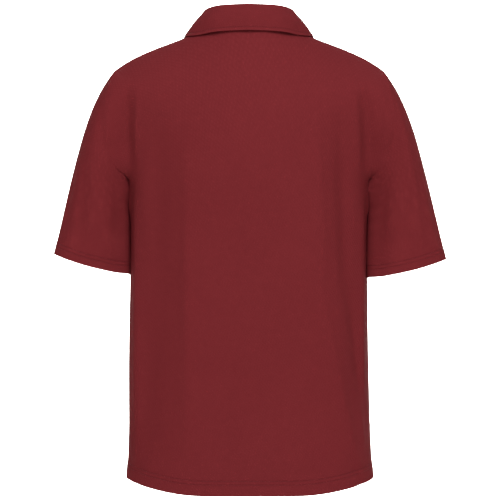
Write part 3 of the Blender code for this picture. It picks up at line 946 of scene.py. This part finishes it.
def sewing_tree():
    """The tree that sets a stitch along a line, and the identifiers of its inputs."""
    tree = bpy.data.node_groups.new("sew_along", "GeometryNodeTree")
    sockets = {}
    for name, kind in (
        ("Line", "NodeSocketGeometry"),
        ("Stitch", "NodeSocketObject"),
        ("Pitch", "NodeSocketFloat"),
        ("Uneven", "NodeSocketFloat"),
        ("Thread", "NodeSocketMaterial"),
    ):
        sockets[name] = tree.interface.new_socket(name, in_out="INPUT", socket_type=kind)
    tree.interface.new_socket("Sewn", in_out="OUTPUT", socket_type="NodeSocketGeometry")

    def add(kind, inputs=(), **settings):
        node = tree.nodes.new(kind)
        for key, value in settings.items():
            setattr(node, key, value)
        for socket, value in dict(inputs).items():
            if isinstance(value, bpy.types.NodeSocket):
                tree.links.new(value, node.inputs[socket])
            else:
                node.inputs[socket].default_value = value
        return node

    given = add("NodeGroupInput").outputs
    curve = add("GeometryNodeMeshToCurve", {"Mesh": given["Line"]})
    evenly = add(
        "GeometryNodeResampleCurve",
        {"Curve": curve.outputs["Curve"], "Length": given["Pitch"]},
        mode="LENGTH",
    )
    outward = add("GeometryNodeInputNamedAttribute", {"Name": OUTWARD}, data_type="FLOAT_VECTOR")
    tangent = add("GeometryNodeInputTangent")
    turned = add(
        "FunctionNodeAxesToRotation",
        {0: outward.outputs["Attribute"], 1: tangent.outputs["Tangent"]},
        primary_axis="Z",
        secondary_axis="X",
    )
    shortest = add("ShaderNodeMath", {0: 1.0, 1: given["Uneven"]}, operation="SUBTRACT")
    stretch = add(
        "FunctionNodeRandomValue",
        {2: shortest.outputs[0], 3: 1.0, "Seed": LENGTH_SEED},
        data_type="FLOAT",
    )
    scale = add("ShaderNodeCombineXYZ", {0: stretch.outputs[1], 1: 1.0, 2: 1.0})
    model = add("GeometryNodeObjectInfo", {"Object": given["Stitch"]})
    placed = add(
        "GeometryNodeInstanceOnPoints",
        {
            "Points": evenly.outputs["Curve"],
            "Instance": model.outputs["Geometry"],
            "Rotation": turned.outputs[0],
            "Scale": scale.outputs[0],
        },
    )
    real = add("GeometryNodeRealizeInstances", {"Geometry": placed.outputs["Instances"]})
    dyed = add(
        "GeometryNodeSetMaterial",
        {"Geometry": real.outputs["Geometry"], "Material": given["Thread"]},
    )
    tree.links.new(dyed.outputs["Geometry"], add("NodeGroupOutput").inputs[0])
    return tree, {name: socket.identifier for name, socket in sockets.items()}


sewing, sewing_inputs = sewing_tree()


def sew(name, chains, stitch, pitch, uneven):
    """Real stitches along the chains, as one plain mesh."""
    line = line_object(name, chains)
    modifier = line.modifiers.new("sew", "NODES")
    modifier.node_group = sewing
    values = {"Stitch": stitch, "Pitch": pitch, "Uneven": uneven, "Thread": thread}
    for key, value in values.items():
        modifier[sewing_inputs[key]] = value
    graph = bpy.context.evaluated_depsgraph_get()
    mesh = bpy.data.meshes.new_from_object(line.evaluated_get(graph), depsgraph=graph)
    line.modifiers.clear()
    line.data = mesh
    return line


print("inputs:", list(sewing_inputs))

# %% Thread
THREAD_DYE = (0.190, 0.0235, 0.0285)
THREAD_DARK = (0.120, 0.0140, 0.0175)
TWIST_SCALE = 2600.0
TWIST_DEPTH = 0.00008
thread_finish = Finish("thread")
thread_twist = thread_finish.noise(TWIST_SCALE, 1.0)
thread_shader = thread_finish.add(
    "ShaderNodeBsdfPrincipled",
    {},
    {
        "Base Color": thread_finish.blend(thread_twist, THREAD_DYE, THREAD_DARK),
        "Roughness": 0.62,
        "Normal": thread_finish.bump(0.5, thread_twist * TWIST_DEPTH),
        "Specular IOR Level": 0.12,
    },
)
thread = thread_finish.close(thread_shader)
print("thread is", thread.name)

# %% Sew the hems, the leaf, the placket and the vents
PITCH = 0.0028
PITCH_UNEVEN = 0.12
FRONT_FACING = -0.3
SEWN_ROWS = {
    "back": HEM_ROWS,
    "front": HEM_ROWS,
    "sleeve_left": CUFF_ROWS,
    "sleeve_right": CUFF_ROWS,
    "collar": LEAF_ROWS,
    "placket_upper": STRIP_ROWS,
}
sewn = {}
for node, rows in SEWN_ROWS.items():
    mesh = cloth[node].data
    keep = (lambda way: way[1] < FRONT_FACING) if node == "placket_upper" else None
    chains = []
    for row in rows:
        chains += level_lines(mesh, hem_distance[node], row, keep)
    if node in vent_distance:
        chains += level_lines(mesh, vent_distance[node], VENT_ROW)
    sewn[node] = sew(node + "_stitches", chains, running_stitch, PITCH, PITCH_UNEVEN)
    print(node, len(chains), "rows,", len(sewn[node].data.polygons), "faces of thread")

# %% [markdown]
# ## Buttons
#
# Three buttons close the placket. Each is turned from dyed resin, with a raised rim and
# four holes, and held by two bars of thread. It sits where its solid is. Behind it the
# placket has a buttonhole: a slit with satin stitches round it, a little longer than the
# button is wide.

# %% The button's shape
BUTTON_PROFILE = (  # out from the middle in radii, up from the back in thicknesses
    (0.00, 0.00),
    (0.78, 0.00),
    (0.94, 0.16),
    (1.00, 0.40),
    (1.00, 0.66),
    (0.96, 0.86),
    (0.89, 0.97),
    (0.81, 1.00),
    (0.73, 0.94),
    (0.66, 0.80),
    (0.56, 0.73),
    (0.00, 0.70),
)
BUTTON_SIDES = 48
HOLE_OFF = 0.00115
HOLE_RADIUS = 0.00050
HOLE_SIDES = 14
BUTTON_SHARP = math.radians(38)


def lathe(shape, profile, sides, place=(0.0, 0.0)):
    """A turned form round the upright at place."""
    rings = []
    for radius, height in profile:
        count = 1 if radius == 0 else sides
        ring = []
        for side in range(count):
            turn = 2 * math.pi * side / sides
            spot = (place[0] + radius * math.cos(turn), place[1] + radius * math.sin(turn), height)
            ring.append(shape.verts.new(spot))
        rings.append(ring)
    for low, high in zip(rings, rings[1:]):
        for side in range(sides):
            after = (side + 1) % sides
            corners = [low[side % len(low)], low[after % len(low)]]
            corners += [high[after % len(high)], high[side % len(high)]]
            shape.faces.new(list(dict.fromkeys(corners)))
    bmesh.ops.recalc_face_normals(shape, faces=shape.faces)


def mesh_piece(name, shape):
    """A new object from a finished bmesh."""
    mesh = bpy.data.meshes.new(name)
    shape.to_mesh(mesh)
    shape.free()
    piece = bpy.data.objects.new(name, mesh)
    bpy.context.scene.collection.objects.link(piece)
    return piece


def drilled_button(radius, thick):
    """The button as one mesh, with its four holes cut right through."""
    body = bmesh.new()
    lathe(body, [(r * radius, h * thick) for r, h in BUTTON_PROFILE], BUTTON_SIDES)
    button = mesh_piece("button_model", body)
    drill = bmesh.new()
    for x in (-HOLE_OFF, HOLE_OFF):
        for y in (-HOLE_OFF, HOLE_OFF):
            rod = [(r, h * thick) for r, h in ((0.0, -1), (HOLE_RADIUS, -1), (HOLE_RADIUS, 2), (0.0, 2))]
            lathe(drill, rod, HOLE_SIDES, (x, y))
    cutter = mesh_piece("drill", drill)
    cut = button.modifiers.new("holes", "BOOLEAN")
    cut.object = cutter
    cut.solver = "EXACT"
    graph = bpy.context.evaluated_depsgraph_get()
    mesh = bpy.data.meshes.new_from_object(button.evaluated_get(graph), depsgraph=graph)
    bpy.data.objects.remove(cutter)
    bpy.data.objects.remove(button)
    mesh.shade_smooth()
    mesh.set_sharp_from_angle(angle=BUTTON_SHARP)
    return mesh


STRAND_RADIUS = 0.00016
STRAND_APART = 0.00027
STRAND_SIDES = 6
BAR_RISE = 0.00042
BAR_DIP = 0.0009


def thread_bars(thick):
    """Two bars of three strands each, from hole to hole over the sunk middle."""
    shape = bmesh.new()
    floor_of_button = BUTTON_PROFILE[-1][1]
    for y in (-HOLE_OFF, HOLE_OFF):
        for strand in (-1, 0, 1):
            rings = []
            for step in range(9):
                along = -1 + step / 4
                x = along * HOLE_OFF
                middle = thick * floor_of_button + BAR_RISE * (1 - along**6) - BAR_DIP * along**6
                ring = []
                for side in range(STRAND_SIDES):
                    turn = 2 * math.pi * side / STRAND_SIDES
                    off = strand * STRAND_APART + STRAND_RADIUS * math.cos(turn)
                    spot = (x, y + off, middle + STRAND_RADIUS * math.sin(turn))
                    ring.append(shape.verts.new(spot))
                rings.append(ring)
            for low, high in zip(rings, rings[1:]):
                for side in range(STRAND_SIDES):
                    after = (side + 1) % STRAND_SIDES
                    shape.faces.new((low[side], low[after], high[after], high[side]))
    bmesh.ops.recalc_face_normals(shape, faces=shape.faces)
    return shape


print("a button is turned from", len(BUTTON_PROFILE), "points")

# %% Dyed resin
RESIN = (0.095, 0.0085, 0.0120)
RESIN_PALE = (0.150, 0.0190, 0.0240)
VEIN_SCALE = 260.0
MARK_SCALE = 1800.0
MARK_DEPTH = 0.00003
resin_finish = Finish("dyed_resin")
resin_veins = resin_finish.noise(VEIN_SCALE, 3.0, 1.6)
resin_marks = resin_finish.noise(MARK_SCALE, 2.0)
resin_shader = resin_finish.add(
    "ShaderNodeBsdfPrincipled",
    {},
    {
        "Base Color": resin_finish.blend(resin_veins, RESIN, RESIN_PALE),
        "Roughness": resin_marks * 0.14 + 0.24,
        "Normal": resin_finish.bump(0.3, resin_marks * MARK_DEPTH),
        "Specular IOR Level": 0.28,
        "Coat Weight": 0.05,
    },
)
resin = resin_finish.close(resin_shader)
print("resin is", resin.name)

# %% Set the buttons and sew the buttonholes
BUTTON_NODES = ("button_1", "button_2", "button_3")
BUTTONHOLE_HALF = 0.0066
BUTTONHOLE_ROUND = 0.0013
BUTTONHOLE_STEPS = 40
BUTTONHOLE_STEEP = 4
SATIN_PITCH = 0.00050
SATIN_UNEVEN = 0.05
SLIT_SHORTER = 0.0012
SLIT_PROUD = 0.00006
SLIT_OUTLINE = (  # across in rounds of the buttonhole, up in half lengths of the slit
    (0, 1),
    (0.16, 0.5),
    (0.2, 0),
    (0.16, -0.5),
    (0, -1),
    (-0.16, -0.5),
    (-0.2, 0),
    (-0.16, 0.5),
)
strip_surface = surface_of(cloth["placket_upper"])


def seat_of(node):
    """A button's radius, thickness and place, with its Z out of the placket."""
    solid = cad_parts[node].data
    points = points_of(solid)
    middle = (points.max(axis=0) + points.min(axis=0)) / 2
    outward = np.linalg.svd(points - points.mean(axis=0))[2][2]
    outward *= -np.sign(outward[1])
    along = (points - middle) @ outward
    radius = np.linalg.norm((points - middle) - np.outer(along, outward), axis=1).max()
    turned = Vector(outward).to_track_quat("Z", "Y").to_matrix().to_4x4()
    turned.translation = Vector(middle + outward * along.min())
    return radius, along.max() - along.min(), turned


def on_strip(x, z):
    """The place and outward way of the upper placket, straight behind a point."""
    spot, way, _, _ = strip_surface.ray_cast(Vector((x, -1.0, z)), Vector((0, 1, 0)))
    return np.array(spot), np.array(way)


def buttonhole_ring(x, z):
    """The line that the satin stitches follow: two straight sides and two round ends."""
    ring = []
    for step in range(BUTTONHOLE_STEPS + 1):
        turn = 2 * math.pi * step / BUTTONHOLE_STEPS
        reach = math.copysign(BUTTONHOLE_HALF - BUTTONHOLE_ROUND, math.sin(turn))
        reach *= min(1, abs(math.sin(turn)) * BUTTONHOLE_STEEP)
        up = BUTTONHOLE_ROUND * math.sin(turn) + reach
        ring.append(on_strip(x + BUTTONHOLE_ROUND * math.cos(turn), z + up))
    return ring


hole_chains = []
slit_shape = bmesh.new()
buttons = {}
bars = {}
for node in BUTTON_NODES:
    radius, thick, turned = seat_of(node)
    mesh = drilled_button(radius, thick)
    mesh.transform(turned)
    mesh.name = node + "_turned"
    mesh.materials.clear()
    mesh.materials.append(resin)
    buttons[node] = bpy.data.objects.new(node + "_turned", mesh)
    bpy.context.scene.collection.objects.link(buttons[node])
    threads = thread_bars(thick)
    threads.transform(turned)
    bars[node] = mesh_piece(node + "_thread", threads)
    bars[node].data.materials.append(thread)
    bars[node].data.shade_smooth()
    x, z = turned.translation.x, turned.translation.z
    hole_chains.append(buttonhole_ring(x, z))
    edge = []
    for across, up in SLIT_OUTLINE:
        high = z + up * (BUTTONHOLE_HALF - SLIT_SHORTER)
        spot, way = on_strip(x + across * BUTTONHOLE_ROUND, high)
        edge.append(slit_shape.verts.new(spot + way * SLIT_PROUD))
    slit_shape.faces.new(edge)
    print(node, "radius", round(radius * 1000, 2), "mm, thick", round(thick * 1000, 2), "mm")
buttonholes = sew("buttonholes", hole_chains, satin_stitch, SATIN_PITCH, SATIN_UNEVEN)
slits = mesh_piece("buttonhole_slits", slit_shape)
slits.data.materials.append(thread)
print(len(buttonholes.data.polygons), "faces of satin stitch")

# %% [markdown]
# ## Stage, light and camera
#
# The shirt hangs at the height it is worn, over a pale floor that curves up into a
# backdrop. One wide soft light stands above the camera, a weak one lights the front, and a
# third one whitens the backdrop. The pale room fills the rest, so shadows stay soft.

# %% Floor and backdrop
WORN_HEIGHT = 1.42
FLOOR_HALF = 9.0
BACKDROP_Y = -7.0
BACKDROP_ROUND = 1.6
BACKDROP_TOP = 4.0
BACKDROP_STEPS = 16
FLOOR_END_Y = 7.0


def backdrop():
    """One sheet: the floor, a rounded corner and the wall."""
    profile = [(FLOOR_END_Y, -WORN_HEIGHT)]
    for step in range(BACKDROP_STEPS + 1):
        angle = math.pi / 2 * step / BACKDROP_STEPS
        y = BACKDROP_Y + BACKDROP_ROUND - BACKDROP_ROUND * math.sin(angle)
        z = -WORN_HEIGHT + BACKDROP_ROUND * (1 - math.cos(angle))
        profile.append((y, z))
    profile.append((BACKDROP_Y, BACKDROP_TOP))
    points = [(x, y, z) for y, z in profile for x in (-FLOOR_HALF, FLOOR_HALF)]
    faces = [(2 * i, 2 * i + 1, 2 * i + 3, 2 * i + 2) for i in range(len(profile) - 1)]
    mesh = bpy.data.meshes.new("floor")
    mesh.from_pydata(points, [], faces)
    for face in mesh.polygons:
        face.use_smooth = True
    floor = bpy.data.objects.new("floor", mesh)
    bpy.context.scene.collection.objects.link(floor)
    return floor


floor = backdrop()
pale = Finish("pale_floor")
pale_shader = pale.add("ShaderNodeBsdfDiffuse", {}, {"Color": (0.93, 0.92, 0.89, 1.0)})
floor.data.materials.append(pale.close(pale_shader))
print("floor", round(-WORN_HEIGHT, 2), "m")

# %% Lights
MIDDLE = (0.0, 0.0, -0.34)
BACKDROP_FOOT = (0.0, -6.6, -0.8)
LIGHTS = (  # name, place, what it is aimed at, width, watts, spread in degrees
    ("key", (-0.3, 2.8, 2.3), MIDDLE, 2.2, 106.0, 180),
    ("front_key", (0.3, -2.6, 1.9), MIDDLE, 1.7, 8.0, 180),
    ("backdrop_light", (0.0, -3.4, 3.2), BACKDROP_FOOT, 3.0, 620.0, 120),
)
ROOM_COLOUR = (1.0, 0.99, 0.97, 1.0)
ROOM_STRENGTH = 0.585


def soft_light(name, place, target, size, power, spread):
    """A round area light."""
    light = bpy.data.lights.new(name, "AREA")
    light.shape = "DISK"
    light.size = size
    light.energy = power
    light.spread = math.radians(spread)
    lamp = bpy.data.objects.new(name, light)
    lamp.location = place
    lamp.rotation_euler = (Vector(target) - Vector(place)).to_track_quat("-Z", "Y").to_euler()
    bpy.context.scene.collection.objects.link(lamp)


for row in LIGHTS:
    soft_light(*row)
world = bpy.data.worlds.new("room")
world.use_nodes = True
room = world.node_tree.nodes["Background"]
room.inputs["Color"].default_value = ROOM_COLOUR
room.inputs["Strength"].default_value = ROOM_STRENGTH
bpy.context.scene.world = world
bpy.context.scene.view_settings.view_transform = "Standard"
print("lights:", [light.name for light in bpy.data.lights])

# %% Camera
CAMERA_AWAY = 3.2
CAMERA_HEIGHT = -0.3392
CAMERA_ASIDE = -0.0016
FRAME_WIDE = 0.780
SENSOR = 36.0
camera_data = bpy.data.cameras.new("camera")
camera_data.sensor_width = SENSOR
camera_data.lens = SENSOR * CAMERA_AWAY / FRAME_WIDE
camera = bpy.data.objects.new("camera", camera_data)
camera.location = (CAMERA_ASIDE, CAMERA_AWAY, CAMERA_HEIGHT)
camera.rotation_euler = (math.pi / 2, 0.0, math.pi)
bpy.context.scene.collection.objects.link(camera)
bpy.context.scene.camera = camera
print("lens", round(camera_data.lens, 1), "mm")

# %% [markdown]
# ## Handing the pieces over
#
# Each piece of cloth and each button takes the place of its solid, which is hidden, and these and the
# stitches hang from the root. The two model stitches have done their work and are taken away.

bpy.data.objects.remove(running_stitch)
bpy.data.objects.remove(satin_stitch)
for node, piece in buttons.items():
    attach(piece, "root")
    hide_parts(node)
for piece in [*sewn.values(), *bars.values(), buttonholes, slits]:
    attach(piece, "root")
for node, piece in cloth.items():
    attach(piece, "root")
    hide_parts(node)
